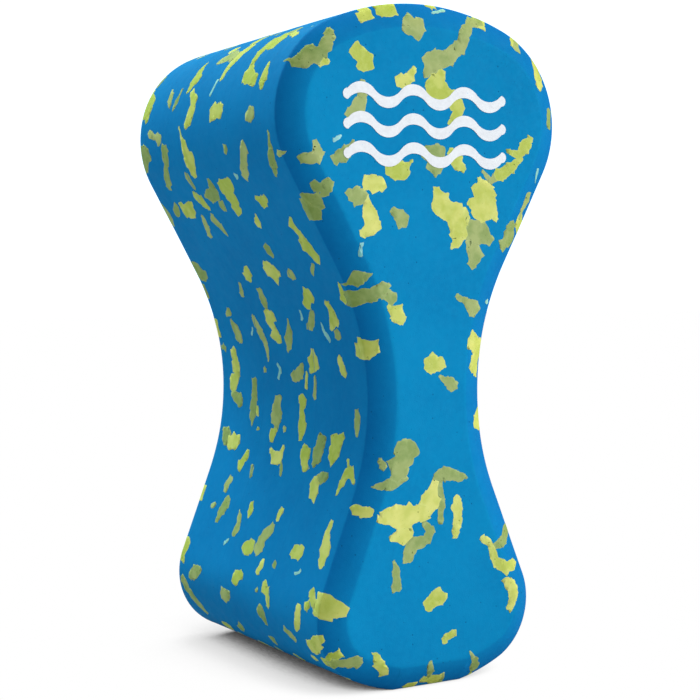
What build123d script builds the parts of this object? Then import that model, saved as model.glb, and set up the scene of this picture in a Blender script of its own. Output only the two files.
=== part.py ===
from build123d import *
import math
import os
import random

# Pull buoy, standing upright on its small lobe.
# Origin: middle of the flat base. X is the width, Y the depth, Z the height.
# The printed face looks towards -Y. All lengths are millimetres.

# ---- outline of the hourglass, seen from the front ----
HEIGHT = 240.0
CROWN_RADIUS = 91.0        # gently domed top of the large lobe
SHOULDER_RADIUS = 36.0     # rounded flanks of the large lobe
SHOULDER_OFFSET = 21.5     # sideways distance of the shoulder centre from the middle
WAIST_RADIUS = 95.0        # hollow flank that the thighs grip
WAIST_HALF_WIDTH = 23.0
WAIST_LEVEL = 103.0        # height of the narrowest place
HEEL_RADIUS = 24.0         # rounded flanks of the small lobe
HEEL_OFFSET = 20.0
FOOT_RADIUS = 70.0         # gently domed bottom of the small lobe
BASE_WIDTH = 28.0          # flat strip that the buoy stands on

# ---- the laminated foam block ----
SLAB_DEPTH = 42.0          # each of the three foam slabs
GLUE_DEPTH = 0.3           # adhesive film between two slabs
BEVEL_INSET = 8.8          # bevel round each flat face, measured across the face
BEVEL_DEPTH = 5.3          # the same bevel, measured along the depth
HALF_DEPTH = 1.5 * SLAB_DEPTH + GLUE_DEPTH

# ---- foam granules pressed into the slabs ----
CHIP_OVERSHOOT = 6.0       # how far a chip's prism starts outside the skin
FACE_CHIP_DEPTH = 8.0      # deeper than the bevel, so that a chip can cross its edge
SIDE_CHIP_DEPTH = 5.0
SMALLEST_CHIP = 2.0        # cubic millimetres, anything less is dropped
POCKETS_AT_A_TIME = 15

# Skins with no chips of their own in the lists below are filled at random.
FACE_SPACING = 16.0
FLANK_SPACING = 15.0
FACE_CHIP_SIZE = 6.5       # width of a granule, before it is varied
FLANK_CHIP_SIZE = 5.0
EMPTY_SHARE = 0.25
CROWN_RUN = 40.0           # the part of each flank nearest the top centre
FOOT_RUN = 280.0           # from here down to the base

# ---- printed wave mark ----
INK_DEPTH = 0.2
WAVE_LENGTH = 21.0
WAVE_COUNT = 3
WAVE_RISE = 2.4
BAND_HEIGHT = 3.8
BAND_PITCH = 10.0
BAND_COUNT = 3
MARK_CENTRE = (-1.0, 197.0)

LIME = "lime"
OLIVE = "olive"
PALE = "pale"

# Chips of the printed face. Each is a shade, then the bends of its crooked body: x, z and
# the width of the foam there.
FACE_CHIPS = [
    # large lobe, above the mark
    (OLIVE, (-7.5, 231.5, 7), (-4, 230.5, 7)),
    (LIME, (-29, 221.5, 6), (-25.5, 218.5, 7)),
    (OLIVE, (-49, 216.5, 5), (-45, 219.5, 6), (-41.5, 220.5, 4), (-38.5, 224.5, 3.5), (-37.5, 228, 2.5)),
    (LIME, (-44, 218.5, 4), (-42, 217.5, 5)),
    (LIME, (-11, 212, 5), (-7.5, 213.5, 4), (-6, 216.5, 2)),
    (OLIVE, (24, 235, 3.5), (19, 234, 4), (15, 229.5, 4.5), (12.5, 224.5, 5)),
    (OLIVE, (12.5, 224.5, 5), (7.5, 221.5, 6.5), (1.5, 219.5, 8), (-1, 215, 3)),
    (LIME, (4.5, 215.5, 5), (2.5, 210.5, 8), (8.5, 207.5, 6), (12.5, 203.5, 5), (10.5, 199, 5)),
    (OLIVE, (-26.5, 211, 2), (-26.5, 206.5, 4), (-28.5, 202.5, 6), (-31.5, 200.5, 4)),
    (LIME, (47.5, 222.5, 2), (48.5, 218.5, 4.5), (48.5, 214, 4)),
    (OLIVE, (53.5, 204.5, 3), (53, 199.5, 3)),
    (PALE, (4.5, 236.5, 1.5), (9, 238, 1)),
    # large lobe, below the mark
    (LIME, (33.5, 189.5, 1.5), (38, 188, 3), (40.5, 190.5, 4.5), (43, 193.5, 3.5)),
    (LIME, (38.5, 186.5, 2.5), (34.5, 183.5, 4.5), (29.5, 181, 4.5)),
    (OLIVE, (22.5, 182, 1.5), (25.5, 178.5, 2.5), (27.5, 179.5, 3)),
    (LIME, (9, 188.5, 4), (11.5, 185.5, 6), (13.5, 183, 3.5)),
    (OLIVE, (-1.5, 188, 6), (3.5, 187.5, 6), (2.5, 183.5, 7), (2.5, 180.5, 2.5)),
    (LIME, (-15.5, 181.5, 6), (-11.5, 181, 6.5), (-7.5, 184.5, 1.5)),
    (LIME, (-24.5, 177, 6), (-20.5, 176.5, 5.5)),
    (OLIVE, (-31.5, 173, 5), (-28.5, 172.5, 7)),
    (LIME, (-25.5, 172.5, 1.5), (-24.5, 167.5, 5.5), (-23.5, 162.5, 6.5), (-26.5, 160, 3.5)),
    (OLIVE, (-14.5, 167.5, 3.5), (-11.5, 164.5, 6)),
    (OLIVE, (-36.5, 185, 5), (-33.5, 187, 5), (-30.5, 190, 2)),
    (PALE, (-38, 191.5, 1.4), (-35.5, 192.5, 1)),
    (OLIVE, (-48.5, 185, 3.5), (-44, 185.5, 4.5), (-45, 189.5, 3)),
    (OLIVE, (-45, 177, 2), (-43, 175, 3), (-40.5, 176, 4.5), (-41, 173.5, 3)),
    (OLIVE, (-47.5, 171.5, 1), (-45, 168.5, 2.5), (-42.5, 166.5, 4)),
    (LIME, (3, 175, 3), (4.5, 170, 8), (10.5, 166.5, 8), (12, 160.5, 7), (10.5, 156, 4)),
    (LIME, (21, 179.5, 2), (23, 174.5, 10), (22.5, 169.5, 9.5), (18, 170.5, 5)),
    (LIME, (25.5, 169.5, 5), (28, 165, 2.5)),
    (LIME, (12.5, 166.5, 6), (15.5, 165, 4)),
    (OLIVE, (14.5, 160.5, 5), (19.5, 161, 9), (24.5, 158, 5)),
    (OLIVE, (17.5, 156.5, 6), (19, 152.5, 6.5), (18, 149, 4)),
    (OLIVE, (35, 162.5, 4.5), (34.5, 159, 6.5), (32, 156.5, 5)),
    (OLIVE, (43.5, 173, 4), (40.5, 168.5, 2), (39.5, 165.5, 1.5)),
    (PALE, (47.5, 183.5, 1.4), (47, 179.5, 1)),
    # waist
    (PALE, (-27.7, 156, 1.6), (-27.9, 152.5, 1.2)),
    (OLIVE, (-28.5, 144.5, 5), (-25.5, 145.5, 3.5)),
    (OLIVE, (-27, 138, 6.5), (-23.5, 139, 4.5), (-19.5, 141, 4.5), (-17.5, 142.5, 2)),
    (OLIVE, (-19.5, 139.5, 4), (-16, 137.5, 4.5)),
    (LIME, (-16.5, 134.5, 3.5), (-14, 132, 6), (-12.5, 131, 5)),
    (OLIVE, (11, 138, 1.5), (14.5, 136, 3), (17.5, 133.5, 6)),
    (PALE, (25.5, 136, 2.4)),
    (LIME, (18.5, 121.5, 7), (22, 117.5, 4), (19, 113.5, 6), (20, 110, 3)),
    (LIME, (0, 114, 7), (2.5, 114, 7)),
    (OLIVE, (3.5, 109.5, 1.5), (6.5, 108, 3.5), (8.5, 107, 4.5), (10.5, 107.5, 2)),
    (LIME, (-26, 121.5, 5), (-23.5, 120, 6.5)),
    (OLIVE, (-11.5, 88, 3), (-11, 84, 9), (-13, 80, 9), (-15, 76, 5)),
    (OLIVE, (-23, 72.5, 1.5), (-17.5, 73.5, 4.5), (-12, 75, 3)),
    (OLIVE, (-20, 82, 1.4), (-19.5, 79.5, 2.5)),
    (OLIVE, (1, 74.5, 3), (5.5, 75.5, 5), (9.5, 74.5, 5), (13.5, 73.5, 2)),
    # small lobe
    (LIME, (-21.5, 61.5, 3), (-17, 62.5, 8), (-10.5, 61.5, 8), (-4.5, 62.5, 6.5)),
    (LIME, (-5.5, 63, 5), (-1, 66, 8), (1, 72.5, 3)),
    (LIME, (-11.5, 59, 7), (-12, 55, 6.5), (-17, 55, 2)),
    (OLIVE, (3, 73, 1.5), (3.5, 66, 3), (3, 59, 2.5)),
    (OLIVE, (-3.5, 58.5, 2.5), (-1, 56, 3.5), (-3, 52.5, 3.5), (-8.5, 52, 5), (-11, 47, 4)),
    (LIME, (10, 65, 4.5), (10.5, 60, 4), (10, 55.5, 4), (9.5, 53, 2.5)),
    (OLIVE, (-16, 46.5, 1.5), (-15.5, 43, 3.5), (-15.3, 37.5, 4.5)),
    (LIME, (-2, 30, 5), (1.5, 32, 6), (4, 32, 3)),
    (LIME, (4.5, 17, 3.5), (8, 18.5, 2.5)),
    (LIME, (21, 51, 3), (24, 49, 3), (25.5, 45, 3), (28, 41, 4), (31.5, 39.5, 4.5), (35.5, 40, 4)),
    (OLIVE, (34, 53.5, 4), (31, 49.5, 4.5), (27, 48, 3)),
    (LIME, (31.5, 34.5, 4), (34.5, 32, 5), (34, 28, 4), (32.5, 25, 3.5)),
    (LIME, (-24.5, 15, 2.5), (-22.5, 11.5, 4), (-20, 8.5, 3.5)),
    (OLIVE, (-38.5, 13.5, 2.5), (-34.5, 12.5, 3.5), (-30.5, 13.5, 4.5)),
    (OLIVE, (-2, 9, 1.5), (-1, 5.5, 3.5)),
    (LIME, (-2.5, 3, 3.5), (3.5, 2.5, 3.5)),
    (LIME, (-9.5, 1.5, 2), (-6, 1.5, 2.5)),
    (OLIVE, (15.5, 10.5, 1.4), (18, 7, 3), (18.5, 4.5, 4)),
    (LIME, (-28, 64.5, 4.5), (-25.5, 64.5, 4.5)),
    (LIME, (-45.5, 39, 1.5), (-45.5, 34, 3.5), (-41.5, 33.5, 8.5), (-37.5, 31.5, 5.5)),
]

# Chips of the left flank: a shade, then bends given as run down the skin from the top
# centre, y, and the width of the foam there.
FLANK_CHIPS = [
    # large lobe
    (LIME, (44, -43, 3), (46, -48, 3.5)),
    (LIME, (47, -36, 9), (46, -31, 6), (52, -29.5, 5.5), (56, -29.5, 4)),
    (LIME, (47, -11, 7), (52, -10, 6), (56, -8.5, 4), (60, -8, 3)),
    (OLIVE, (49, -5, 6), (48, 0, 7), (50, 6, 4)),
    (LIME, (43.5, 3, 4), (43, 6, 4)),
    (LIME, (49.5, 20, 3), (54, 19, 5), (57.5, 17.5, 7), (62.5, 19, 2)),
    (PALE, (61, -5, 1.6), (66, -4, 1.6)),
    (LIME, (63.5, 14.5, 3.5), (68, 10, 5), (73, 11, 6.5), (76, 14, 4)),
    (OLIVE, (61.5, 26, 2), (66, 27, 3.5), (69, 28, 2)),
    (OLIVE, (61, 36, 2.5), (64, 34, 4), (66, 33, 3)),
    (LIME, (59, 58, 5), (65, 55, 9), (69.5, 53, 5)),
    (LIME, (60, -44, 3), (64.5, -45, 5.5), (67.5, -45, 3.5)),
    (LIME, (58, -30, 3.5), (61.5, -31, 7), (65, -37, 5)),
    (OLIVE, (77, -40, 5), (77.5, -38, 5)),
    (LIME, (73.5, -15, 6), (73.5, -10, 7)),
    (OLIVE, (84.5, -52, 1.5), (90, -51, 3), (94, -49.5, 5.5), (98.5, -47.5, 3)),
    (OLIVE, (88, -31.5, 5), (93, -28.5, 5), (98, -25, 4.5)),
    (OLIVE, (87.5, -17.5, 3.5)),
    (PALE, (97.5, -18, 2.2)),
    (OLIVE, (92, -58, 2), (92, -56, 3)),
    (LIME, (76.5, 20, 1.2), (80, 18, 1.6), (84, 16.5, 5), (89, 14, 8), (93.5, 15, 5)),
    (OLIVE, (79, 39.5, 5), (78, 43, 3), (76.5, 48.5, 3)),
    (OLIVE, (84.5, 35, 6.5), (90, 36.5, 3.5), (94, 39, 5), (97.5, 42, 4)),
    (OLIVE, (85, 50, 4), (84, 55, 8), (88, 59, 9)),
    (LIME, (100.5, -9, 7), (101, -4, 7), (106, -6.5, 6.5), (109.5, -6, 6)),
    (OLIVE, (98.5, 5, 3), (103, 5, 6.5), (104, 10, 6), (104, 14, 2.5)),
    (OLIVE, (108.5, 4.5, 5)),
    (OLIVE, (95, 21.5, 3.5), (99.5, 20.5, 3)),
    (LIME, (103, 22.5, 4.5), (105.5, 19.5, 5), (108.5, 17, 2.5)),
    (LIME, (107.5, -31.5, 3), (108.5, -28.5, 5.5), (107, -25.5, 3)),
    (LIME, (106.5, 30, 3), (109, 33, 7), (108.5, 38.5, 6)),
    (OLIVE, (107, 44.5, 4), (109.5, 47.5, 4.5)),
    (OLIVE, (106, 59, 5), (111, 57, 7)),
    (OLIVE, (108.5, -58, 2.5), (112.5, -61, 5)),
    (LIME, (113.5, -18.5, 2), (117, -16.5, 4)),
    (OLIVE, (113, 17.5, 4.5), (117, 14.5, 4), (120.5, 12.5, 1.5)),
    (OLIVE, (112, 26, 2), (116.5, 26.5, 4), (120, 28, 3.5)),
    (LIME, (115.5, -43, 1.5), (118.5, -41.5, 4), (122, -44, 3), (126, -44, 7), (131, -47, 5)),
    (OLIVE, (127.5, -14.5, 5)),
    # upper straight flank
    (OLIVE, (134, -42, 2), (137.5, -39, 2.5)),
    (OLIVE, (137.5, -22.5, 5)),
    (LIME, (136.5, -11.5, 5), (133.5, -6, 4), (136, -7, 7), (139.5, -9, 3.5)),
    (LIME, (136, 10.5, 5), (138.5, 13.5, 5)),
    (OLIVE, (141.5, 23, 2), (145.5, 25, 3)),
    (OLIVE, (137, 52, 7), (135, 56, 8)),
    (OLIVE, (147, -62, 4)),
    (LIME, (142, -54.5, 2), (147, -54, 4.5)),
    (LIME, (149.5, -41, 3), (154.5, -42, 6.5), (158, -38.5, 2.5)),
    (OLIVE, (160.5, -42, 5)),
    (LIME, (146, -29, 6.5), (149, -25.5, 5.5)),
    (OLIVE, (152.5, -27.5, 3), (157, -24, 4.5), (158, -21.5, 3)),
    (PALE, (157, -32, 1.4), (160, -33, 1.6), (162.5, -35, 2)),
    (PALE, (152, -18.5, 1.2), (155, -18, 1.6)),
    (OLIVE, (145, 8, 5), (149.5, 8, 4.5)),
    (LIME, (154.5, 4.5, 4), (155, 8.5, 7), (160, 6, 3.5), (163, 4.5, 5), (162, 8.5, 3.5)),
    (OLIVE, (156, -6.5, 1.5), (160.5, -5.5, 4.5), (164, -3.5, 5.5), (167, -2, 2.5)),
    (OLIVE, (155, 21.5, 2.5), (160, 19, 5), (165, 16, 3.5), (171.5, 16, 2)),
    (PALE, (160, 24.5, 1.4), (162, 26.5, 1.2)),
    (OLIVE, (157.5, 42, 3), (162, 39, 7), (164.5, 37.5, 4)),
    (OLIVE, (153, 42, 4), (154, 44.5, 2)),
    (LIME, (165, -61, 5), (166, -56.5, 8)),
    (LIME, (169.5, -40.5, 3.5), (174, -42, 4.5)),
    # waist
    (LIME, (167.5, -20.5, 2.5), (172, -20.5, 7), (174.5, -18, 2.5)),
    (OLIVE, (177.5, -20.5, 2), (184, -20, 2.5)),
    (OLIVE, (173.5, -11.5, 3.5), (176, -8.5, 5.5), (177.5, -5, 5)),
    (LIME, (175.5, -14.5, 1.8), (181, -13.5, 2)),
    (PALE, (173.5, 8, 1.6), (176, 6.5, 2), (178.5, 8.5, 1.4)),
    (OLIVE, (176, 19.5, 2.5)),
    (LIME, (170.5, 46, 5), (175, 45, 7), (179, 43.5, 4), (182.5, 48, 7)),
    (OLIVE, (187, 47.5, 5), (189.5, 42, 5.5)),
    (OLIVE, (168.5, 54.5, 4)),
    (OLIVE, (187.5, -51, 3), (191, -51.5, 4.5), (195.5, -52, 2)),
    (LIME, (186.5, -10.5, 6), (190, -10, 3.5), (195, -12, 6), (199.5, -11.5, 4)),
    (OLIVE, (187, 9, 5), (192, 10, 9), (195.5, 9, 6)),
    (LIME, (199, 9.5, 3.5), (201, 11.5, 5)),
    (OLIVE, (181, 29, 4.5), (187, 29, 5), (193, 30, 6), (197, 29.5, 3)),
    (LIME, (191.5, 26, 2.5), (193.5, 25.5, 2)),
    (OLIVE, (197.5, 2, 2.5)),
    (OLIVE, (199, 23.5, 2.5)),
    (LIME, (197, -42, 3.5), (200, -38.5, 8), (204, -38, 7)),
    (OLIVE, (200.5, -27, 7), (205, -26, 7.5), (208.5, -25, 3)),
    # lower straight flank
    (LIME, (203, -15, 3), (205.5, -17, 7), (210.5, -19.5, 4)),
    (LIME, (212, -55.5, 2), (209, -52, 4), (208.5, -49.5, 4), (213, -48, 3.5), (216.5, -46.5, 2)),
    (LIME, (207.5, -50, 2.5), (205, -48.5, 1.6)),
    (OLIVE, (212, -35.5, 3.5), (213, -33, 5)),
    (LIME, (215, -29.5, 6), (218, -30.5, 6), (222, -33, 1.5)),
    (LIME, (221, -62, 4)),
    (LIME, (204.5, 1, 2.5), (209, 2, 5), (209, 6, 5.5), (206.5, 10, 2.5)),
    (OLIVE, (211.5, -1, 3), (215, -2.5, 1.5)),
    (OLIVE, (213.5, 22, 2), (217.5, 20.5, 2.5)),
    (LIME, (210, 29, 4.5), (214, 32, 5)),
    (LIME, (205.5, 40.5, 6), (206, 44, 8)),
    (OLIVE, (204.5, 49.5, 8), (202, 53, 4)),
    (OLIVE, (221, 37, 4), (225, 38.5, 3.5)),
    (LIME, (227.5, -49, 2.5), (232, -49, 4.5), (237, -50.5, 7), (240.5, -51, 5)),
    (LIME, (240.5, -34.5, 5), (240.5, -31, 6)),
    (LIME, (228, -11.5, 4), (231, -10.5, 2)),
    (OLIVE, (235.5, -8, 6), (239, -4.5, 6), (243, -3.5, 7)),
    (LIME, (244, 2.5, 6.5), (244.5, 6, 5.5)),
    (LIME, (228, 12.5, 3), (231.5, 11.5, 3.5)),
    (OLIVE, (232, 20, 1.5), (236.5, 18, 4), (240, 18.5, 5)),
    (OLIVE, (230, 33.5, 5.5), (234, 35.5, 5.5), (237.5, 36.5, 3)),
    (OLIVE, (232.5, 42.5, 2.5), (232.5, 45, 2)),
    (PALE, (244, 22, 1.6), (245, 24, 1.6)),
    (PALE, (246.5, -39, 1.2), (248.5, -36, 1.6)),
    # small lobe
    (OLIVE, (247.5, -19.5, 3.5)),
    (LIME, (247.5, -10, 2.5), (251, -9, 3.5)),
    (LIME, (256, -59, 9), (256, -54, 3.5), (252.5, -50.5, 3.5)),
    (LIME, (257.5, -50, 4)),
    (LIME, (258.5, -44, 3), (263.5, -43.5, 5), (267, -42, 2.5)),
    (LIME, (267.5, -58, 3), (270.5, -54, 7), (272, -49, 5)),
    (OLIVE, (271.5, -37.5, 3.5), (269, -32.5, 2.5)),
    (LIME, (256, -16.5, 4), (257.5, -19.5, 4), (262, -21, 3)),
    (OLIVE, (265.5, -14.5, 6), (269, -16.5, 3)),
    (OLIVE, (258, -11.5, 2.4)),
    (LIME, (255, 3.5, 5), (256.5, 7.5, 5)),
    (OLIVE, (264, 12.5, 4.5), (264.5, 16, 6.5)),
    (OLIVE, (258.5, 38, 3), (259.5, 42, 6), (261.5, 46.5, 3.5)),
    (LIME, (250, 56, 6), (256, 55.5, 4)),
    (OLIVE, (265, 53.5, 5), (270, 49, 5), (276, 43, 5)),
    (LIME, (275.5, -60, 4), (278, -54, 4)),
    (LIME, (278, -46, 3.5)),
    (OLIVE, (277.5, -15, 5)),
    (OLIVE, (276.5, 10, 4), (279, 14, 4)),
]


def polar(centre, radius, degrees):
    angle = math.radians(degrees)
    return (centre[0] + radius * math.cos(angle), centre[1] + radius * math.sin(angle))


def heading(start, end):
    return math.degrees(math.atan2(end[1] - start[1], end[0] - start[0]))


def outline_centres():
    """Centres of the five arcs of the right half, from the bottom up."""
    sag = FOOT_RADIUS - math.sqrt(FOOT_RADIUS**2 - (BASE_WIDTH / 2) ** 2)
    foot = (0.0, FOOT_RADIUS - sag)
    heel_drop = math.sqrt((FOOT_RADIUS - HEEL_RADIUS) ** 2 - HEEL_OFFSET**2)
    heel = (HEEL_OFFSET, foot[1] - heel_drop)
    waist = (WAIST_HALF_WIDTH + WAIST_RADIUS, WAIST_LEVEL)
    crown = (0.0, HEIGHT - CROWN_RADIUS)
    shoulder_rise = math.sqrt((CROWN_RADIUS - SHOULDER_RADIUS) ** 2 - SHOULDER_OFFSET**2)
    shoulder = (SHOULDER_OFFSET, crown[1] + shoulder_rise)
    return foot, heel, waist, shoulder, crown


def flank_facing(lobe, lobe_radius, waist, turn):
    """Direction, in degrees, that the straight flank between a lobe and the waist faces."""
    reach = (lobe_radius + WAIST_RADIUS) / math.dist(lobe, waist)
    return heading(lobe, waist) + turn * math.degrees(math.acos(reach))


def half_outline():
    """Right half of the outline, from the top centre down to the middle of the base."""
    foot, heel, waist, shoulder, crown = outline_centres()
    crown_end = heading(crown, shoulder)
    upper = flank_facing(shoulder, SHOULDER_RADIUS, waist, 1)
    lower = flank_facing(heel, HEEL_RADIUS, waist, -1)
    heel_end = heading(foot, heel)
    foot_end = heading(foot, (BASE_WIDTH / 2, 0))
    upper_flank = Line(polar(shoulder, SHOULDER_RADIUS, upper),
                       polar(waist, WAIST_RADIUS, upper + 180))
    lower_flank = Line(polar(waist, WAIST_RADIUS, lower + 180), polar(heel, HEEL_RADIUS, lower))
    curves = [
        CenterArc(crown, CROWN_RADIUS, 90, crown_end - 90),
        CenterArc(shoulder, SHOULDER_RADIUS, crown_end, upper - crown_end),
        upper_flank,
        CenterArc(waist, WAIST_RADIUS, upper + 180, lower - upper),
        lower_flank,
        CenterArc(heel, HEEL_RADIUS, lower, heel_end - lower),
        CenterArc(foot, FOOT_RADIUS, heel_end, foot_end - heel_end),
        Line((BASE_WIDTH / 2, 0), (0, 0)),
    ]
    return Wire([curve.edge() for curve in curves])


def front_plane(y):
    """Upright plane at depth y, with its normal towards -Y."""
    return Plane(origin=(0, y, 0), x_dir=(1, 0, 0), z_dir=(0, -1, 0))


def outline_face():
    right = half_outline()
    left = right.mirror(Plane.YZ)
    return make_face(right.edges() + left.edges())


def block(front, back):
    """Plain block of the hourglass outline between two depths."""
    return extrude(front_plane(back) * outline_face(), amount=back - front)


def front_slab():
    """End slab: a plain block, then the tapered layer whose sides are the bevel."""
    shoulder = -HALF_DEPTH + BEVEL_DEPTH
    slant = math.degrees(math.atan2(BEVEL_INSET, BEVEL_DEPTH))
    bevel = extrude(front_plane(shoulder) * outline_face(), amount=BEVEL_DEPTH, taper=slant)
    return block(shoulder, -HALF_DEPTH + SLAB_DEPTH) + bevel


def foam_slabs():
    """The three slabs; the rear one is the front one turned to face the other way."""
    front = front_slab()
    return {
        "front_slab": front,
        "middle_slab": block(-SLAB_DEPTH / 2, SLAB_DEPTH / 2),
        "rear_slab": mirror(front, Plane.XZ),
    }


def glue_films():
    first = -HALF_DEPTH + SLAB_DEPTH
    second = first + GLUE_DEPTH + SLAB_DEPTH
    return {
        "front_glue_film": block(first, first + GLUE_DEPTH),
        "rear_glue_film": block(second, second + GLUE_DEPTH),
    }


def ragged_blob(spot, width, dice):
    """Angular lump of foam about a spot."""
    corners = 5 + int(width > 4) + int(width > 7)
    first = dice.uniform(0, 360)
    points = []
    for step in range(corners):
        degrees = first + 360 * (step + dice.uniform(-0.25, 0.25)) / corners
        points.append(polar(spot, dice.uniform(0.85, 1.3) * width / 2, degrees))
    return make_face(Polyline(*points, close=True).edges())


def torn_link(start, start_width, end, end_width, dice):
    """Strip of foam that joins two lumps, nicked halfway along both its edges."""
    across = heading(start, end) + 90
    middle = ((start[0] + end[0]) / 2, (start[1] + end[1]) / 2)
    points = []
    for side in (0, 180):
        row = [
            polar(start, dice.uniform(0.38, 0.52) * start_width, across + side),
            polar(middle, dice.uniform(0.2, 0.3) * (start_width + end_width), across + side),
            polar(end, dice.uniform(0.38, 0.52) * end_width, across + side),
        ]
        points += row if side == 0 else row[::-1]
    return make_face(Polyline(*points, close=True).edges())


def torn_outline(bends, dice):
    """Outline of one granule: a lump at every bend, and a strip from each bend to the next."""
    first, *others = bends
    outline = ragged_blob(first[:2], first[2], dice)
    previous = first
    for bend in others:
        outline += torn_link(previous[:2], previous[2], bend[:2], bend[2], dice)
        outline += ragged_blob(bend[:2], bend[2], dice)
        previous = bend
    return outline


def chip_prism(plane, bends, depth, dice):
    """Prism of a granule outline through the skin that the plane lies on."""
    return extrude(plane.offset(-depth) * torn_outline(bends, dice), amount=depth + CHIP_OVERSHOOT)


def skin_plane(outline, run, y, side):
    """Plane on the flank: local x runs down the skin, and the normal points outwards."""
    point = outline.position_at(run, position_mode=PositionMode.LENGTH)
    tangent = outline.tangent_at(run, position_mode=PositionMode.LENGTH)
    origin = (side * point.X, y, point.Y)
    down = Vector(side * tangent.X, 0, tangent.Y)
    outwards = Vector(-side * tangent.Y, 0, tangent.X)
    return Plane(origin=origin, x_dir=down, z_dir=outwards)


def flank_prism(outline, bends, side, dice):
    """Prism of a granule whose bends are given as run down the skin, depth and width."""
    runs = [bend[0] for bend in bends]
    depths = [bend[1] for bend in bends]
    run = (min(runs) + max(runs)) / 2
    y = (min(depths) + max(depths)) / 2
    local = [(bend[0] - run, side * (bend[1] - y), bend[2]) for bend in bends]
    return chip_prism(skin_plane(outline, run, y, side), local, SIDE_CHIP_DEPTH, dice)


def spaced_spots(rows, columns, spacing, dice):
    """Jittered grid of spots over a rectangle given by its two ranges."""
    spots = []
    row_count = round((rows[1] - rows[0]) / spacing)
    column_count = round((columns[1] - columns[0]) / spacing)
    for row in range(row_count):
        for column in range(column_count):
            if dice.random() < EMPTY_SHARE:
                continue
            along = rows[0] + (row + 0.5 + dice.uniform(-0.35, 0.35)) * spacing
            across = columns[0] + (column + 0.5 + dice.uniform(-0.35, 0.35)) * spacing
            spots.append((along, across))
    return spots


def random_chip(spot, size, dice):
    """Shade and bends of a granule of about the given size, starting at a spot."""
    shade = dice.choices([LIME, OLIVE, PALE], weights=[10, 9, 1])[0]
    if shade == PALE:
        size = size / 4
    bends = []
    degrees = dice.uniform(0, 360)
    for _ in range(dice.choice([1, 2, 2, 3])):
        width = size * dice.uniform(0.6, 1.2)
        bends.append((spot[0], spot[1], width))
        degrees += dice.uniform(-70, 70)
        spot = polar(spot, width * dice.uniform(0.6, 0.9), degrees)
    return shade, bends


def face_prisms(dice):
    prisms = []
    for shade, *bends in FACE_CHIPS:
        prisms.append((shade, chip_prism(front_plane(-HALF_DEPTH), bends, FACE_CHIP_DEPTH, dice)))
    return prisms


def left_flank_prisms(outline, dice):
    return [(shade, flank_prism(outline, bends, -1, dice)) for shade, *bends in FLANK_CHIPS]


def filled_flank_prisms(outline, rows, depths, side, size, dice):
    prisms = []
    for spot in spaced_spots(rows, depths, FLANK_SPACING, dice):
        shade, bends = random_chip(spot, size, dice)
        prisms.append((shade, flank_prism(outline, bends, side, dice)))
    return prisms


def rear_face_prisms(dice):
    rear = Plane(origin=(0, HALF_DEPTH, 0), x_dir=(-1, 0, 0), z_dir=(0, 1, 0))
    half_width = SHOULDER_OFFSET + SHOULDER_RADIUS
    prisms = []
    for z, x in spaced_spots((2, HEIGHT - 2), (-half_width, half_width), FACE_SPACING, dice):
        shade, bends = random_chip((x, z), FACE_CHIP_SIZE, dice)
        prisms.append((shade, chip_prism(rear, bends, FACE_CHIP_DEPTH, dice)))
    return prisms


def all_chip_prisms():
    """Every granule as a pair of its shade and its prism, printed face first."""
    dice = random.Random(41)
    outline = half_outline()
    prisms = face_prisms(dice) + left_flank_prisms(outline, dice)
    whole_depth = (-HALF_DEPTH, HALF_DEPTH)
    prisms += filled_flank_prisms(outline, (CROWN_RUN, FOOT_RUN), whole_depth, 1,
                                  FLANK_CHIP_SIZE, dice)
    for side in (-1, 1):
        for rows in ((2, CROWN_RUN), (FOOT_RUN, outline.length - 2)):
            prisms += filled_flank_prisms(outline, rows, whole_depth, side,
                                          FLANK_CHIP_SIZE, dice)
    return prisms + rear_face_prisms(dice)


def boxes_meet(a, b):
    return (a.min.X < b.max.X and b.min.X < a.max.X
            and a.min.Y < b.max.Y and b.min.Y < a.max.Y
            and a.min.Z < b.max.Z and b.min.Z < a.max.Z)


def inlay_chips(slab, prisms):
    """Chips of one slab, each with its shade, none overlapping another."""
    slab_box = slab.bounding_box()
    placed = []
    for shade, prism in prisms:
        if not boxes_meet(prism.bounding_box(), slab_box):
            continue
        chip = prism & slab
        if chip is None:
            continue
        for solid in chip.solids():
            box = solid.bounding_box()
            neighbours = [other for _, other, other_box in placed if boxes_meet(box, other_box)]
            rest = solid - neighbours if neighbours else solid
            for piece in rest.solids():
                if piece.volume > SMALLEST_CHIP:
                    placed.append((shade, piece, piece.bounding_box()))
    return [(shade, piece) for shade, piece, _ in placed]


def cut_pockets(slab, chips):
    """The slab without the room that its chips take up, cut a few at a time.

    Crumbs of foam that the pockets cut loose from the slab are dropped.
    """
    pieces = [piece for _, piece in chips]
    for first in range(0, len(pieces), POCKETS_AT_A_TIME):
        slab -= pieces[first:first + POCKETS_AT_A_TIME]
    return max(slab.solids(), key=lambda solid: solid.volume)


def wave_band(centre_x, centre_z):
    """One wavy band of the mark: two rows of alternating arcs, with round ends."""
    half_wave = WAVE_LENGTH / 2
    half_band = BAND_HEIGHT / 2
    start = centre_x - WAVE_COUNT * half_wave
    end = centre_x + WAVE_COUNT * half_wave
    edges = []
    for level in (centre_z + half_band, centre_z - half_band):
        for step in range(2 * WAVE_COUNT):
            left = start + step * half_wave
            rise = WAVE_RISE if step % 2 == 0 else -WAVE_RISE
            edges.append(ThreePointArc((left, level), (left + half_wave / 2, level + rise),
                                       (left + half_wave, level)).edge())
    for x, tip in ((start, start - half_band), (end, end + half_band)):
        edges.append(ThreePointArc((x, centre_z - half_band), (tip, centre_z),
                                   (x, centre_z + half_band)).edge())
    return make_face(edges)


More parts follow.
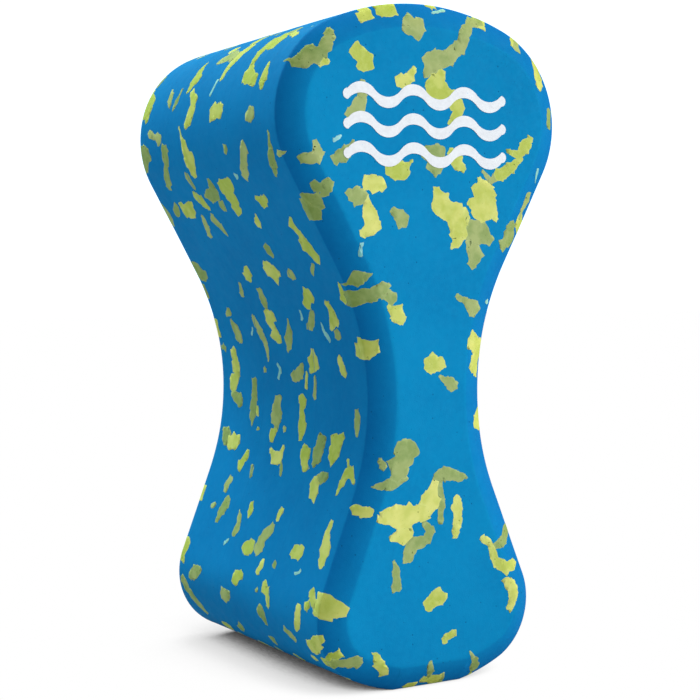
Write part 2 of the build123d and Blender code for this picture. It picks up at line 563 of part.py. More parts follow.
def wave_print():
    bands = []
    for row in range(BAND_COUNT):
        level = MARK_CENTRE[1] + (row - (BAND_COUNT - 1) / 2) * BAND_PITCH
        face = front_plane(-HALF_DEPTH) * wave_band(MARK_CENTRE[0], level)
        bands.append(extrude(face, amount=INK_DEPTH))
    return Compound(children=[band.solid() for band in bands])


def save(name, solids):
    shape = solids[0] if len(solids) == 1 else Compound(children=list(solids))
    export_step(shape, f"parts/{name}.step", write_pcurves=False)


def main():
    os.makedirs("parts", exist_ok=True)
    prisms = all_chip_prisms()
    for name, slab in foam_slabs().items():
        chips = inlay_chips(slab, prisms)
        save(name, [cut_pockets(slab, chips)])
        for wanted in (LIME, OLIVE, PALE):
            pieces = [piece for shade, piece in chips if shade == wanted]
            save(f"{name}_{wanted}_chips", pieces)
            print(name, wanted, len(pieces))
    for name, film in glue_films().items():
        save(name, film.solids())
    save("wave_print", wave_print().solids())


main()
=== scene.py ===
import math

import bmesh
import bpy
from mathutils import Matrix, Vector, noise
from mathutils.bvhtree import BVHTree
from mathutils.kdtree import KDTree


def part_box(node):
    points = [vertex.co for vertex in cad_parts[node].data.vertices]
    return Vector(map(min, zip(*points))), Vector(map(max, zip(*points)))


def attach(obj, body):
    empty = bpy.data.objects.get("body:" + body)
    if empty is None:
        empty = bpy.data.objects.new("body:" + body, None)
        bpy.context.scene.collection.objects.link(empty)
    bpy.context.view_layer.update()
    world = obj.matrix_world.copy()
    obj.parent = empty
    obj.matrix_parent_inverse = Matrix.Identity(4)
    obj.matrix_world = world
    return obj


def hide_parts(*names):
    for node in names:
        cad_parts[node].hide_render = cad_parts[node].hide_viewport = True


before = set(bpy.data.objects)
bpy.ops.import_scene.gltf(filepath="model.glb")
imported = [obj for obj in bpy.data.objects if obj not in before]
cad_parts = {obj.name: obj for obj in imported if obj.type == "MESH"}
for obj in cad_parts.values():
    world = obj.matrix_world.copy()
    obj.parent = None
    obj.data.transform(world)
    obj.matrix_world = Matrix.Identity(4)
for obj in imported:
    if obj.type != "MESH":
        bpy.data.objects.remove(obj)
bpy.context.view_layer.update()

MM = 0.001

# ---- outline of the hourglass, in metres, as in the CAD ----
HEIGHT = 240.0 * MM
CROWN_RADIUS = 91.0 * MM
SHOULDER_RADIUS = 36.0 * MM
SHOULDER_OFFSET = 21.5 * MM
WAIST_RADIUS = 95.0 * MM
WAIST_HALF_WIDTH = 23.0 * MM
WAIST_LEVEL = 103.0 * MM
HEEL_RADIUS = 24.0 * MM
HEEL_OFFSET = 20.0 * MM
FOOT_RADIUS = 70.0 * MM
BASE_WIDTH = 28.0 * MM
BEVEL_INSET = 8.8 * MM
BEVEL_DEPTH = 5.3 * MM
BEVEL_BULGE = 0.6 * MM         # how far the cut bevel bows out between its two edges
INNER_SOFTNESS = 1.0 * MM      # reach of the rounding where the bevel meets the face
OUTER_SOFTNESS = 0.8 * MM      # and where it meets the flank

# ---- mesh density ----
OUTLINE_STEP = 1.4 * MM
DEPTH_STEP = 2.6 * MM
FACE_COLUMNS = 26

# ---- skin unevenness ----
WAVE_SIZE = 22.0 * MM
WAVE_HEIGHT = 0.12 * MM
CALM_BELOW = 6.0 * MM          # the base stays flat, so that the buoy stands on the floor

# ---- painted shade: the flanks and bevels are painted darker than the flat faces ----
FLANK_PAINTED_SHADE = 0.48
BEVEL_PAINTED_SHADE = 0.35               # beside the flat face; it rises to 1 beside the flank
# colour multipliers that paint the shade on the flanks and bevels, for the blue foam and for the
# granules
BLUE_PAINTED_SHADE_TINT = (0.9, 0.70, 0.89)
CHIP_PAINTED_SHADE_TINT = (0.90, 0.92, 0.67)

# ---- granules ----
CHIP_PROUD = 0.05 * MM
CHIP_EDGE_LIMIT = 2.4 * MM
CHIP_SAG_LIMIT = 0.012 * MM
CHIP_EDGE_FLOOR = 0.3 * MM
SKIN_REACH = 1.1 * MM          # a chip's vertex this near the skin belongs to its face
RIM_STEP = 0.8 * MM
TEARS = ((2.6 * MM, 0.75 * MM), (1.0 * MM, 0.3 * MM))    # size and reach of the torn waves

# ---- printed mark ----
INK_PROUD = 0.16 * MM
INK_ROOT = 0.5 * MM
WAVE_LENGTH = 21.0 * MM
WAVE_COUNT = 3
WAVE_RISE = 2.4 * MM
BAND_HEIGHT = 3.8 * MM
BAND_COUNT = 3
BAND_STEP = 0.6 * MM
BAND_ROWS = 6

# ---- light ----
AMBIENT = 0.23
FLOOR_BOUNCE = 0.5
# painted shadow on the floor: to the camera the floor glows white, darkened near the buoy by its
# occlusion
SHELTER_REACH = 0.12           # metres within which the buoy darkens the floor
SHELTER_FACING = (0.25, -0.5, 0.83)
CONTACT_RANGE = (0.13, 0.29)   # openness of the floor, from under the buoy to beside it
CONTACT_LIGHT = 0.02
SHELTER_RANGE = (0.29, 0.66)   # and from beside the buoy to the open floor
SHELTER_LIGHT = 0.70
BACKDROP = 1.4
KEY_STRENGTH = 4.73
KEY_FROM = (0.62, -0.62, 0.45)
KEY_ANGLE = 60.0
REAR_BOX = (-0.4, 0.8, 1.7)
REAR_WATTS = 54.0
REAR_TINT = (0.8, 1.0, 0.98)
LEFT_BOX = (-1.6, 0.9, 0.3)
LEFT_WATTS = 8.0
FILL_TINT = (0.8, 0.95, 1.15)

SLABS = ("front_slab", "middle_slab", "rear_slab")
FILMS = ("front_glue_film", "rear_glue_film")
SHADES = ("lime", "olive", "pale")


# ---------------------------------------------------------------- shape of the skin

def polar(centre, radius, angle):
    return (centre[0] + radius * math.cos(angle), centre[1] + radius * math.sin(angle))


def heading(start, end):
    return math.atan2(end[1] - start[1], end[0] - start[0])


def flank_facing(lobe, lobe_radius, waist, turn):
    """Direction that the straight flank between a lobe and the waist faces."""
    reach = (lobe_radius + WAIST_RADIUS) / math.dist(lobe, waist)
    return heading(lobe, waist) + turn * math.acos(reach)


def outline_curves():
    """Arcs (centre, radius, first and last facing, sign) and lines of the right half."""
    sag = FOOT_RADIUS - math.sqrt(FOOT_RADIUS**2 - (BASE_WIDTH / 2) ** 2)
    foot = (0.0, FOOT_RADIUS - sag)
    heel_drop = math.sqrt((FOOT_RADIUS - HEEL_RADIUS) ** 2 - HEEL_OFFSET**2)
    heel = (HEEL_OFFSET, foot[1] - heel_drop)
    waist = (WAIST_HALF_WIDTH + WAIST_RADIUS, WAIST_LEVEL)
    crown = (0.0, HEIGHT - CROWN_RADIUS)
    rise = math.sqrt((CROWN_RADIUS - SHOULDER_RADIUS) ** 2 - SHOULDER_OFFSET**2)
    shoulder = (SHOULDER_OFFSET, crown[1] + rise)
    upper = flank_facing(shoulder, SHOULDER_RADIUS, waist, 1)
    lower = flank_facing(heel, HEEL_RADIUS, waist, -1)
    crown_end = heading(crown, shoulder)
    heel_end = heading(foot, heel)
    foot_end = heading(foot, (BASE_WIDTH / 2, 0))
    return [
        (crown, CROWN_RADIUS, math.pi / 2, crown_end, 1),
        (shoulder, SHOULDER_RADIUS, crown_end, upper, 1),
        (polar(shoulder, SHOULDER_RADIUS, upper), polar(waist, -WAIST_RADIUS, upper), upper),
        (waist, WAIST_RADIUS, upper + math.pi, lower + math.pi, -1),
        (polar(waist, -WAIST_RADIUS, lower), polar(heel, HEEL_RADIUS, lower), lower),
        (heel, HEEL_RADIUS, lower, heel_end, 1),
        (foot, FOOT_RADIUS, heel_end, foot_end, 1),
        ((BASE_WIDTH / 2, 0.0), (0.0, 0.0), -math.pi / 2),
    ]


def half_outline():
    """Points of the right half and their outward normals, from the top centre to the base."""
    points = []
    for curve in outline_curves():
        if len(curve) == 3:
            start, end, facing = curve
            normal = (math.cos(facing), math.sin(facing))
            steps = max(2, round(math.dist(start, end) / OUTLINE_STEP))
            for step in range(steps):
                t = step / steps
                spot = (start[0] + (end[0] - start[0]) * t, start[1] + (end[1] - start[1]) * t)
                points.append((spot, normal))
        else:
            centre, radius, first, last, sign = curve
            steps = max(2, round(abs(last - first) * radius / OUTLINE_STEP))
            for step in range(steps):
                angle = first + (last - first) * step / steps
                normal = (sign * math.cos(angle), sign * math.sin(angle))
                points.append((polar(centre, radius, angle), normal))
    points.append(((0.0, 0.0), (0.0, -1.0)))
    return points


HALF = half_outline()


def soften(before, corner, after, reach):
    """Points of a small rounding in place of a corner."""
    start = corner + (before - corner).normalized() * reach
    end = corner + (after - corner).normalized() * reach
    points = []
    for t in (0.0, 0.25, 0.5, 0.75, 1.0):
        points.append(start * (1 - t) ** 2 + corner * 2 * t * (1 - t) + end * t**2)
    return points


def bevel_section():
    """(inset, depth below the flat face) pairs, from the flat face down to the flank."""
    inner = Vector((BEVEL_INSET, 0.0))
    outer = Vector((0.0, BEVEL_DEPTH))
    bow = Vector((-BEVEL_DEPTH, -BEVEL_INSET)).normalized() * BEVEL_BULGE
    middle = []
    for t in (0.22, 0.34, 0.45, 0.56, 0.67, 0.78):
        middle.append(inner.lerp(outer, t) + bow * 4 * t * (1 - t))
    inner_edge = soften(inner + Vector((1 * MM, 0)), inner, middle[0], INNER_SOFTNESS)
    outer_edge = soften(middle[-1], outer, outer + Vector((0, 1 * MM)), OUTER_SOFTNESS)
    return inner_edge + middle + outer_edge


def depth_stops():
    """Every (inset, y) ring of the skin from front to rear, with a ring at each slab joint."""
    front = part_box("front_slab")[0].y
    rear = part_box("rear_slab")[1].y
    section = bevel_section()
    stops = [(inset, front + depth) for inset, depth in section]
    joints = [front + section[-1][1]]
    for film in FILMS:
        low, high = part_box(film)
        joints += [low.y, high.y]
    joints.append(rear - section[-1][1])
    for start, end in zip(joints, joints[1:]):
        steps = max(1, round((end - start) / DEPTH_STEP))
        stops += [(0.0, start + (end - start) * step / steps) for step in range(1, steps + 1)]
    stops += [(inset, rear - depth) for inset, depth in reversed(section[:-1])]
    return stops


def unevenness(point):
    calm = min(1.0, max(0.0, point.z / CALM_BELOW - 0.1))
    return WAVE_HEIGHT * calm * noise.noise(point / WAVE_SIZE)


def ring_points(inset, y):
    """One ring round the outline: right half from the top down, then the left half back up."""
    right = []
    for (x, z), (nx, nz) in HALF:
        right.append(Vector((x - nx * inset, y, z - nz * inset)))
    left = [Vector((-p.x, p.y, p.z)) for p in right[-2:0:-1]]
    return right + left


def add_cap(bm, ring, flip):
    """Fills a ring with rows of quads between its left and right points."""
    half = len(HALF)
    count = len(ring)
    previous = [ring[0]]
    for row in range(1, half):
        right = ring[row]
        left = ring[(count - row) % count]
        if left is right:
            current = [right]
        else:
            current = [left]
            for column in range(1, FACE_COLUMNS):
                current.append(bm.verts.new(left.co.lerp(right.co, column / FACE_COLUMNS)))
            current.append(right)
        for column in range(max(len(previous), len(current)) - 1):
            if len(previous) == 1:
                corners = [previous[0], current[column], current[column + 1]]
            elif len(current) == 1:
                corners = [previous[column], current[0], previous[column + 1]]
            else:
                corners = [previous[column], current[column],
                           current[column + 1], previous[column + 1]]
            bm.faces.new(reversed(corners) if flip else corners)
        previous = current


def painted_shade_level(inset):
    """How much painted shade the foam gets: the bevel is painted darker from the face towards the
    flank, and the flank has a fixed share.
    """
    if inset < 0.05 * MM:
        return FLANK_PAINTED_SHADE
    if inset > BEVEL_INSET - 0.3 * MM:
        return 0.0
    return 1.0 - (1.0 - BEVEL_PAINTED_SHADE) * inset / BEVEL_INSET


def skin_block(stops):
    """Closed block of the hourglass between the first and last of its rings."""
    bm = bmesh.new()
    # the cut layer holds painted shade: how far each vertex is painted darker on the flanks and
    # bevels
    cut = bm.verts.layers.float.new("cut")
    rings = []
    for inset, y in stops:
        ring = [bm.verts.new(point) for point in ring_points(inset, y)]
        for vert in ring:
            vert[cut] = painted_shade_level(inset)
        rings.append(ring)
    for front, back in zip(rings, rings[1:]):
        for index in range(len(front)):
            after = (index + 1) % len(front)
            bm.faces.new([front[index], back[index], back[after], front[after]])
    add_cap(bm, rings[0], False)
    add_cap(bm, rings[-1], True)
    bmesh.ops.recalc_face_normals(bm, faces=bm.faces)
    bm.normal_update()
    return bm


def displaced(bm, cut_planes=()):
    """Moves the outer skin by its unevenness; the cut ends between slabs stay flat."""
    moves = []
    for vert in bm.verts:
        cut = any(abs(vert.co.y - y) < 1e-7 for y in cut_planes)
        normal = vert.normal.copy()
        if cut:
            if not any(abs(face.normal.y) < 0.5 for face in vert.link_faces):
                continue
            normal.y = 0.0
            normal.normalize()
        moves.append((vert, normal * unevenness(vert.co)))
    for vert, move in moves:
        vert.co += move
    bm.normal_update()
    return bm


def mesh_object(name, bm, material, smooth_angle=35.0):
    mesh = bpy.data.meshes.new(name)
    bm.to_mesh(mesh)
    bm.free()
    obj = bpy.data.objects.new(name, mesh)
    bpy.context.scene.collection.objects.link(obj)
    mesh.materials.append(material)
    mesh.polygons.foreach_set("use_smooth", [True] * len(mesh.polygons))
    mesh.set_sharp_from_angle(angle=math.radians(smooth_angle))
    return obj


# ---------------------------------------------------------------- materials

class Nodes:
    """Short forms for building a material's node tree."""

    def __init__(self, name):
        self.material = bpy.data.materials.new(name)
        self.material.use_nodes = True
        self.tree = self.material.node_tree
        self.tree.nodes.clear()
        self.shader = self.add("ShaderNodeBsdfPrincipled")
        self.output = self.add("ShaderNodeOutputMaterial")
        self.tree.links.new(self.shader.outputs[0], self.output.inputs[0])
        self.place = self.add("ShaderNodeTexCoord").outputs["Object"]

    def add(self, kind, **settings):
        node = self.tree.nodes.new(kind)
        for key, value in settings.items():
            setattr(node, key, value)
        return node

    def link(self, source, target):
        self.tree.links.new(source, target)

    def fill(self, node, values):
        for key, value in values.items():
            if isinstance(value, bpy.types.NodeSocket):
                self.link(value, node.inputs[key])
            else:
                node.inputs[key].default_value = value

    def noise(self, size, detail=3.0, roughness=0.5, distortion=0.0):
        """Noise whose blotches are about size metres across."""
        node = self.add("ShaderNodeTexNoise")
        self.fill(node, {"Vector": self.place, "Scale": 1.0 / size, "Detail": detail,
                         "Roughness": roughness, "Distortion": distortion})
        return node.outputs["Fac"]

    def cells(self, size, feature="F1", randomness=1.0):
        node = self.add("ShaderNodeTexVoronoi", feature=feature)
        self.fill(node, {"Vector": self.place, "Scale": 1.0 / size, "Randomness": randomness})
        return node

    def ramp(self, value, low, high, to_low=0.0, to_high=1.0):
        node = self.add("ShaderNodeMapRange", interpolation_type="SMOOTHSTEP")
        self.fill(node, {"Value": value, "From Min": low, "From Max": high,
                         "To Min": to_low, "To Max": to_high})
        return node.outputs["Result"]

    def math(self, operation, first, second):
        node = self.add("ShaderNodeMath", operation=operation)
        self.fill(node, {0: first, 1: second})
        return node.outputs[0]

    def mix(self, factor, first, second, blend="MIX"):
        node = self.add("ShaderNodeMix", data_type="RGBA", blend_type=blend)
        self.fill(node, {"Factor": factor, 6: first, 7: second})
        return node.outputs[2]

    def bump(self, height, strength, distance, normal=None):
        node = self.add("ShaderNodeBump")
        self.fill(node, {"Height": height, "Strength": strength, "Distance": distance})
        if normal is not None:
            self.link(normal, node.inputs["Normal"])
        return node.outputs["Normal"]

    def attribute(self, name):
        return self.add("ShaderNodeAttribute", attribute_name=name).outputs["Fac"]

    def pores(self, spacing, radius, share):
        """1 inside small round pores, on a share of the cells of a scatter."""
        cell = self.cells(spacing)
        near = self.ramp(cell.outputs["Distance"], radius * 0.6 / spacing, radius / spacing, 1.0, 0.0)
        chosen = self.add("ShaderNodeSeparateColor")
        self.link(cell.outputs["Color"], chosen.inputs[0])
        picked = self.math("LESS_THAN", chosen.outputs[0], share)
        return self.math("MULTIPLY", near, picked)


def rgba(red, green, blue):
    return (red, green, blue, 1.0)


def foam_surface(nodes, face_colour, painted_shade_tint, pore_shade_colour, pore_share):
    """Closed-cell foam: mottled colour, with painted shade on the flanks and bevels, with pores and a
    fine grain.
    """
    # painted shade: the cut layer tints the flanks and bevels darker
    tint = nodes.mix(nodes.attribute("cut"), rgba(1.0, 1.0, 1.0), rgba(*painted_shade_tint))
    colour = nodes.mix(1.0, face_colour, tint, "MULTIPLY")
    pores = nodes.pores(3.2 * MM, 0.32 * MM, pore_share)
    pinholes = nodes.pores(1.1 * MM, 0.13 * MM, pore_share)
    holes = nodes.math("MAXIMUM", pores, pinholes)
    # painted shade in the pores and pinholes: a darker colour stands for the shade inside each small
    # hole
    coloured = nodes.mix(nodes.math("MULTIPLY", holes, 0.7), colour, pore_shade_colour)
    nodes.link(coloured, nodes.shader.inputs["Base Color"])
    rough = nodes.ramp(nodes.noise(4 * MM, 4.0), 0.3, 0.7, 0.70, 0.85)
    nodes.link(rough, nodes.shader.inputs["Roughness"])
    grain = nodes.cells(0.45 * MM).outputs["Distance"]
    fuzz = nodes.noise(0.9 * MM, 5.0, 0.65)
    relief = nodes.bump(nodes.math("ADD", grain, fuzz), 0.35, 0.05 * MM)
    soft = nodes.bump(nodes.noise(9 * MM, 3.0), 0.5, 0.12 * MM, relief)
    pitted = nodes.bump(nodes.math("SUBTRACT", 1.0, holes), 0.6, 0.15 * MM, soft)
    nodes.link(pitted, nodes.shader.inputs["Normal"])
    nodes.shader.inputs["Specular IOR Level"].default_value = 0.03


def blue_foam():
    nodes = Nodes("blue_foam")
    clouds = nodes.ramp(nodes.noise(28 * MM, 4.0, 0.55), 0.3, 0.7)
    flecks = nodes.ramp(nodes.noise(2.2 * MM, 6.0, 0.7), 0.35, 0.68)
    broad = nodes.mix(clouds, rgba(0.0012, 0.152, 0.333), rgba(0.0015, 0.172, 0.362))
    fine = nodes.mix(nodes.math("MULTIPLY", flecks, 0.35), broad, rgba(0.003, 0.197, 0.396))
    foam_surface(nodes, fine, BLUE_PAINTED_SHADE_TINT, rgba(0.001, 0.06, 0.16), 0.32)
    return nodes.material


def chip_foam(name, dark, light, rim, pore_shade):
    """Granule foam: its tone differs from chip to chip, and its torn rim is paler."""
    nodes = Nodes(name)
    patches = nodes.ramp(nodes.noise(6.0 * MM, 2.0), 0.35, 0.65)
    tone = nodes.math("ADD", nodes.attribute("chip_tone"), patches)
    base = nodes.mix(nodes.math("MULTIPLY", tone, 0.5), dark, light)
    streaks = nodes.ramp(nodes.noise(3.0 * MM, 5.0, 0.65, 0.6), 0.35, 0.7)
    streaked = nodes.mix(nodes.math("MULTIPLY", streaks, 0.3), base, rim)
    edge = nodes.ramp(nodes.attribute("rim_distance"), 0.1, 0.5, 0.3, 0.0)
    edged = nodes.mix(edge, streaked, rim)
    foam_surface(nodes, edged, CHIP_PAINTED_SHADE_TINT, pore_shade, 0.5)
    return nodes.material


def glue():
    nodes = Nodes("glue")
    tint = nodes.mix(nodes.noise(6 * MM), rgba(0.0010, 0.140, 0.310), rgba(0.0012, 0.160, 0.340))
    foam_surface(nodes, tint, BLUE_PAINTED_SHADE_TINT, rgba(0.001, 0.08, 0.2), 0.1)
    return nodes.material


def white_ink():
    nodes = Nodes("white_ink")
    worn = nodes.ramp(nodes.noise(1.6 * MM, 6.0, 0.7), 0.3, 0.7)
    white = nodes.mix(worn, rgba(0.52, 0.525, 0.55), rgba(0.575, 0.585, 0.605))
    pinholes = nodes.pores(1.6 * MM, 0.14 * MM, 0.3)
    nodes.link(nodes.mix(pinholes, white, rgba(0.12, 0.38, 0.6)), nodes.shader.inputs["Base Color"])
    nodes.link(nodes.ramp(nodes.noise(3 * MM), 0.3, 0.7, 0.5, 0.62), nodes.shader.inputs["Roughness"])
    weave = nodes.noise(0.5 * MM, 4.0, 0.6)
    nodes.link(nodes.bump(weave, 0.25, 0.04 * MM), nodes.shader.inputs["Normal"])
    return nodes.material


# ---------------------------------------------------------------- foam slabs and glue

def register(piece, node):
    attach(piece, "root")
    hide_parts(node)


def between(stops, start, end):
    close = 1e-6
    return [stop for stop in stops if start - close <= stop[1] <= end + close]


def make_foam(stops, blue, film):
    """The three slabs and the two films, each over its own stretch of the same skin."""
    front = stops[0][1]
    rear = stops[-1][1]
    cuts = []
    for name in FILMS:
        low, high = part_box(name)
        cuts += [low.y, high.y]
    spans = dict(zip(SLABS, ((front, cuts[0]), (cuts[1], cuts[2]), (cuts[3], rear))))
    for name, (start, end) in spans.items():
        bm = displaced(skin_block(between(stops, start, end)), cuts)
        piece = mesh_object(name + "_foam", bm, blue)
        register(piece, name)
    for name, start, end in zip(FILMS, cuts[0::2], cuts[1::2]):
        bm = displaced(skin_block(between(stops, start, end)), cuts)
        register(mesh_object(name + "_bond", bm, film), name)


# ---------------------------------------------------------------- granules

def snap(point, skin):
    """Where a chip's surface point goes: on the skin, a hair proud of it."""
    place, normal, _, _ = skin.find_nearest(point)
    return place + normal * CHIP_PROUD, normal


def mark_outer_faces(bm, skin):
    """Tags the faces that lie on the skin, as against the walls of the chip's pocket."""
    outer = bm.faces.layers.int.new("outer")
    for face in bm.faces:
        place, normal, _, _ = skin.find_nearest(face.calc_center_median())
        facing = face.normal.dot(normal) > 0.5
        near = all((v.co - skin.find_nearest(v.co)[0]).length < SKIN_REACH for v in face.verts)
        face[outer] = int(facing and near)
    return outer


def too_coarse(edge, skin, outer):
    length = edge.calc_length()
    on_rim = len({face[outer] for face in edge.link_faces}) == 2
    if length > (RIM_STEP if on_rim else CHIP_EDGE_LIMIT):
        return True
    if length < 2 * CHIP_EDGE_FLOOR:
        return False
    middle = (edge.verts[0].co + edge.verts[1].co) / 2
    return (snap(middle, skin)[0] - middle).length > CHIP_SAG_LIMIT


def refine_chips(bm, skin, outer):
    """Splits the outer faces until they follow the skin, snapping each new vertex to it."""
    settled = set()
    for _ in range(8):
        faces = [face for face in bm.faces if face[outer]]
        for vert in {v for face in faces for v in face.verts}:
            if vert not in settled:
                vert.co = snap(vert.co, skin)[0]
                settled.add(vert)
        edges = {edge for face in faces for edge in face.edges}
        edges = [edge for edge in edges if too_coarse(edge, skin, outer)]
        if not edges:
            break
        bmesh.ops.subdivide_edges(bm, edges=edges, cuts=1)
        bmesh.ops.triangulate(bm, faces=[face for face in bm.faces if len(face.verts) > 3])


def tear_chips(bm, skin, outer):
    """Turns the straight edges of the granules into torn ones, by warping them on the skin."""
    # the cut layer holds painted shade: granules on the flanks and bevels are painted darker, like
    # the foam round them
    cut = bm.verts.layers.float.new("cut")
    for vert in {v for face in bm.faces if face[outer] for v in face.verts}:
        normal = snap(vert.co, skin)[1]
        warp = Vector()
        for size, reach in TEARS:
            warp += noise.noise_vector(vert.co / size) * reach
        vert.co, normal = snap(vert.co + warp - normal * warp.dot(normal), skin)
        facing = abs(normal.y)
        vert[cut] = FLANK_PAINTED_SHADE if facing < 0.5 else min(1.0, max(0.0, (0.99 - facing) * 4.0))


def paint_chips(bm, outer):
    """Per-chip tone, and each outer vertex's distance from its chip's rim in millimetres."""
    tone = bm.verts.layers.float.new("chip_tone")
    distance = bm.verts.layers.float.new("rim_distance")
    rim = [v for v in bm.verts if len({face[outer] for face in v.link_faces}) == 2]
    tree = KDTree(len(rim))
    for index, vert in enumerate(rim):
        tree.insert(vert.co, index)
    tree.balance()
    unseen = set(bm.verts)
    while unseen:
        seed = unseen.pop()
        island = [seed]
        queue = [seed]
        while queue:
            for edge in queue.pop().link_edges:
                for vert in edge.verts:
                    if vert in unseen:
                        unseen.remove(vert)
                        island.append(vert)
                        queue.append(vert)
        centre = sum((v.co for v in island), Vector()) / len(island)
        value = noise.cell(centre / MM * 1.7)
        for vert in island:
            vert[tone] = value
    for vert in bm.verts:
        vert[distance] = tree.find(vert.co)[2] / MM if rim else 1.0


def make_chips(skin, materials):
    for slab in SLABS:
        for shade in SHADES:
            node = f"{slab}_{shade}_chips"
            bm = bmesh.new()
            bm.from_mesh(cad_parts[node].data)
            bmesh.ops.remove_doubles(bm, verts=bm.verts, dist=1e-6)
            bm.normal_update()
            outer = mark_outer_faces(bm, skin)
            refine_chips(bm, skin, outer)
            tear_chips(bm, skin, outer)
            paint_chips(bm, outer)
            piece = mesh_object(f"{slab}_{shade}_granules", bm, materials[shade])
            register(piece, node)


# ---------------------------------------------------------------- printed mark

def wave_height(along):
    """Height of the wave line, alternating circular arcs, a distance along it."""
    if not 0.0 < along < WAVE_COUNT * WAVE_LENGTH:
        return 0.0
    half = WAVE_LENGTH / 2
    index = int(along // half)
    local = along - index * half - half / 2
    radius = (half**2 / 4 + WAVE_RISE**2) / (2 * WAVE_RISE)
    lift = math.sqrt(radius**2 - local**2) - (radius - WAVE_RISE)
    return lift if index % 2 == 0 else -lift


def band_stations():
    """(distance along a band, half its height there) pairs, with round ends."""
    radius = BAND_HEIGHT / 2
    length = WAVE_COUNT * WAVE_LENGTH
    cap = [(radius * math.cos(a), radius * math.sin(a)) for a in (0.15, 0.45, 0.8, 1.2)]
    columns = round(length / BAND_STEP)
    stations = [(-along, half) for along, half in cap]
    stations += [(length * column / columns, radius) for column in range(columns + 1)]
    stations += [(length + along, half) for along, half in reversed(cap)]
    return stations


def make_print(skin, ink):
    """Three wavy bands of ink, laid on the uneven skin."""
    low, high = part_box("wave_print")
    first_level = low.z + WAVE_RISE + BAND_HEIGHT / 2
    last_level = high.z - WAVE_RISE - BAND_HEIGHT / 2
    start = low.x + BAND_HEIGHT / 2
    bm = bmesh.new()
    for band in range(BAND_COUNT):
        level = first_level + (last_level - first_level) * band / (BAND_COUNT - 1)
        grid = []
        for along, half in band_stations():
            line = []
            for row in range(BAND_ROWS + 1):
                z = level + wave_height(along) + (2 * row / BAND_ROWS - 1) * half
                origin = Vector((start + along, low.y - 5 * MM, z))
                place, normal, _, _ = skin.ray_cast(origin, Vector((0, 1, 0)))
                line.append(bm.verts.new(place + normal * INK_PROUD))
            grid.append(line)
        faces = []
        for left, right in zip(grid, grid[1:]):
            for row in range(BAND_ROWS):
                faces.append(bm.faces.new([left[row], right[row], right[row + 1], left[row + 1]]))
        back = bmesh.ops.extrude_face_region(bm, geom=faces)["geom"]
        for item in back:
            if isinstance(item, bmesh.types.BMVert):
                item.co.y += INK_ROOT
    bmesh.ops.recalc_face_normals(bm, faces=bm.faces)
    register(mesh_object("wave_print_ink", bm, ink), "wave_print")


# ---------------------------------------------------------------- stage, light and camera

def make_floor():
    """Plain pale floor; the camera sees it white, with a painted shadow round the buoy's base, worked
    out from occlusion rather than cast by the lamps.
    """
    bm = bmesh.new()
    bmesh.ops.create_circle(bm, cap_ends=True, segments=96, radius=6.0)
    nodes = Nodes("floor")
    nodes.shader.inputs["Base Color"].default_value = rgba(FLOOR_BOUNCE, FLOOR_BOUNCE, FLOOR_BOUNCE)
    nodes.shader.inputs["Roughness"].default_value = 0.8
    nodes.shader.inputs["Specular IOR Level"].default_value = 0.0
    # painted shadow: occlusion, sought towards the key's side, sets how dark the camera sees the
    # floor
    sheltered = nodes.add("ShaderNodeAmbientOcclusion", samples=16)
    sheltered.inputs["Distance"].default_value = SHELTER_REACH
    towards_light = nodes.add("ShaderNodeCombineXYZ")
    nodes.fill(towards_light, dict(enumerate(SHELTER_FACING)))
    nodes.link(towards_light.outputs[0], sheltered.inputs["Normal"])
    near = nodes.ramp(sheltered.outputs["AO"], *CONTACT_RANGE, CONTACT_LIGHT, SHELTER_LIGHT)
    far = nodes.ramp(sheltered.outputs["AO"], *SHELTER_RANGE, 0.0, 1.0 - SHELTER_LIGHT)
    seen = nodes.add("ShaderNodeEmission")
    nodes.link(nodes.math("ADD", near, far), seen.inputs["Strength"])
    chosen = nodes.add("ShaderNodeMixShader")
    nodes.link(nodes.add("ShaderNodeLightPath").outputs["Is Camera Ray"], chosen.inputs[0])
    nodes.link(nodes.shader.outputs[0], chosen.inputs[1])
    nodes.link(seen.outputs[0], chosen.inputs[2])
    nodes.link(chosen.outputs[0], nodes.output.inputs[0])
    floor = mesh_object("floor", bm, nodes.material)


def area_light(name, place, target, size, watts, tint=(1.0, 1.0, 1.0)):
    data = bpy.data.lights.new(name, "AREA")
    data.color = tint
    data.shape = "DISK"
    data.size = size
    data.energy = watts
    lamp = bpy.data.objects.new(name, data)
    lamp.location = place
    lamp.rotation_euler = (Vector(target) - Vector(place)).to_track_quat("-Z", "Y").to_euler()
    bpy.context.scene.collection.objects.link(lamp)


def make_world():
    """Dim, cool, even studio light; the bare background itself is pure white."""
    world = bpy.data.worlds.new("studio")
    world.use_nodes = True
    tree = world.node_tree
    background = tree.nodes["Background"]
    background.inputs["Color"].default_value = rgba(*FILL_TINT)
    seen = tree.nodes.new("ShaderNodeLightPath").outputs["Is Camera Ray"]
    strength = tree.nodes.new("ShaderNodeMapRange")
    tree.links.new(seen, strength.inputs["Value"])
    strength.inputs["To Min"].default_value = AMBIENT
    strength.inputs["To Max"].default_value = BACKDROP
    tree.links.new(strength.outputs["Result"], background.inputs["Strength"])
    bpy.context.scene.world = world


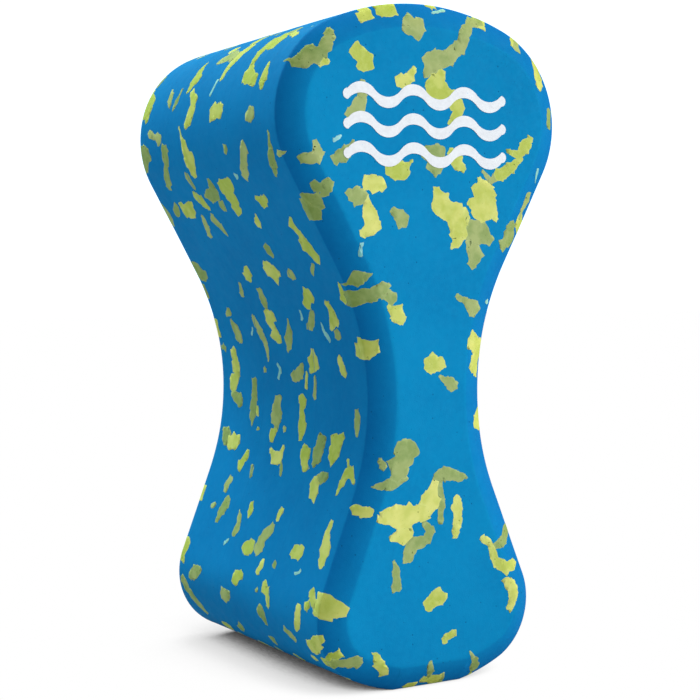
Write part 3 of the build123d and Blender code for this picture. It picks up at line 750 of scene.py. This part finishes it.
def make_lights():
    centre = (0.0, 0.0, HEIGHT / 2)
    data = bpy.data.lights.new("key_sun", "SUN")
    data.energy = KEY_STRENGTH
    data.angle = math.radians(KEY_ANGLE)
    key = bpy.data.objects.new("key_sun", data)
    key.rotation_euler = Vector(KEY_FROM).to_track_quat("Z", "Y").to_euler()
    bpy.context.scene.collection.objects.link(key)
    area_light("overhead_softbox", REAR_BOX, centre, 0.9, REAR_WATTS, REAR_TINT)
    area_light("rear_left_softbox", LEFT_BOX, centre, 0.9, LEFT_WATTS, FILL_TINT)


def make_camera():
    """Looks at the middle of the buoy from its left, slightly above."""
    azimuth = math.radians(-29.96)
    elevation = math.radians(2.57)
    roll = math.radians(-0.715)
    distance = 613.6 * MM
    aside = -3.2 * MM
    lift = 2.75 * MM
    back = Vector((math.sin(azimuth) * math.cos(elevation),
                   -math.cos(azimuth) * math.cos(elevation), math.sin(elevation)))
    level_right = Vector((math.cos(azimuth), math.sin(azimuth), 0.0))
    level_up = back.cross(level_right)
    right = level_right * math.cos(roll) + level_up * math.sin(roll)
    up = level_up * math.cos(roll) - level_right * math.sin(roll)
    data = bpy.data.cameras.new("camera")
    data.sensor_width = 36.0
    data.lens = 36.0 * 1599.1 / 700
    camera = bpy.data.objects.new("camera", data)
    middle = Vector((0.0, 0.0, HEIGHT / 2))
    camera.location = middle + back * distance - right * aside - up * lift
    camera.rotation_mode = "QUATERNION"
    camera.rotation_quaternion = Matrix((right, up, back)).transposed().to_quaternion()
    bpy.context.scene.collection.objects.link(camera)
    bpy.context.scene.camera = camera


def main():
    bpy.context.scene.view_settings.view_transform = "Standard"
    stops = depth_stops()
    skin_mesh = displaced(skin_block(stops))
    skin = BVHTree.FromBMesh(skin_mesh)
    skin_mesh.free()
    make_foam(stops, blue_foam(), glue())
    chip_materials = {
        "lime": chip_foam("lime_foam", rgba(0.33, 0.38, 0.068), rgba(0.54, 0.52, 0.155),
                          rgba(0.50, 0.54, 0.18), rgba(0.12, 0.15, 0.02)),
        "olive": chip_foam("olive_foam", rgba(0.19, 0.255, 0.085), rgba(0.34, 0.37, 0.150),
                           rgba(0.34, 0.39, 0.17), rgba(0.05, 0.08, 0.02)),
        "pale": chip_foam("pale_foam", rgba(0.13, 0.38, 0.40), rgba(0.24, 0.46, 0.44),
                          rgba(0.32, 0.52, 0.50), rgba(0.1, 0.25, 0.3)),
    }
    make_chips(skin, chip_materials)
    make_print(skin, white_ink())
    make_floor()
    make_world()
    make_lights()
    make_camera()


main()
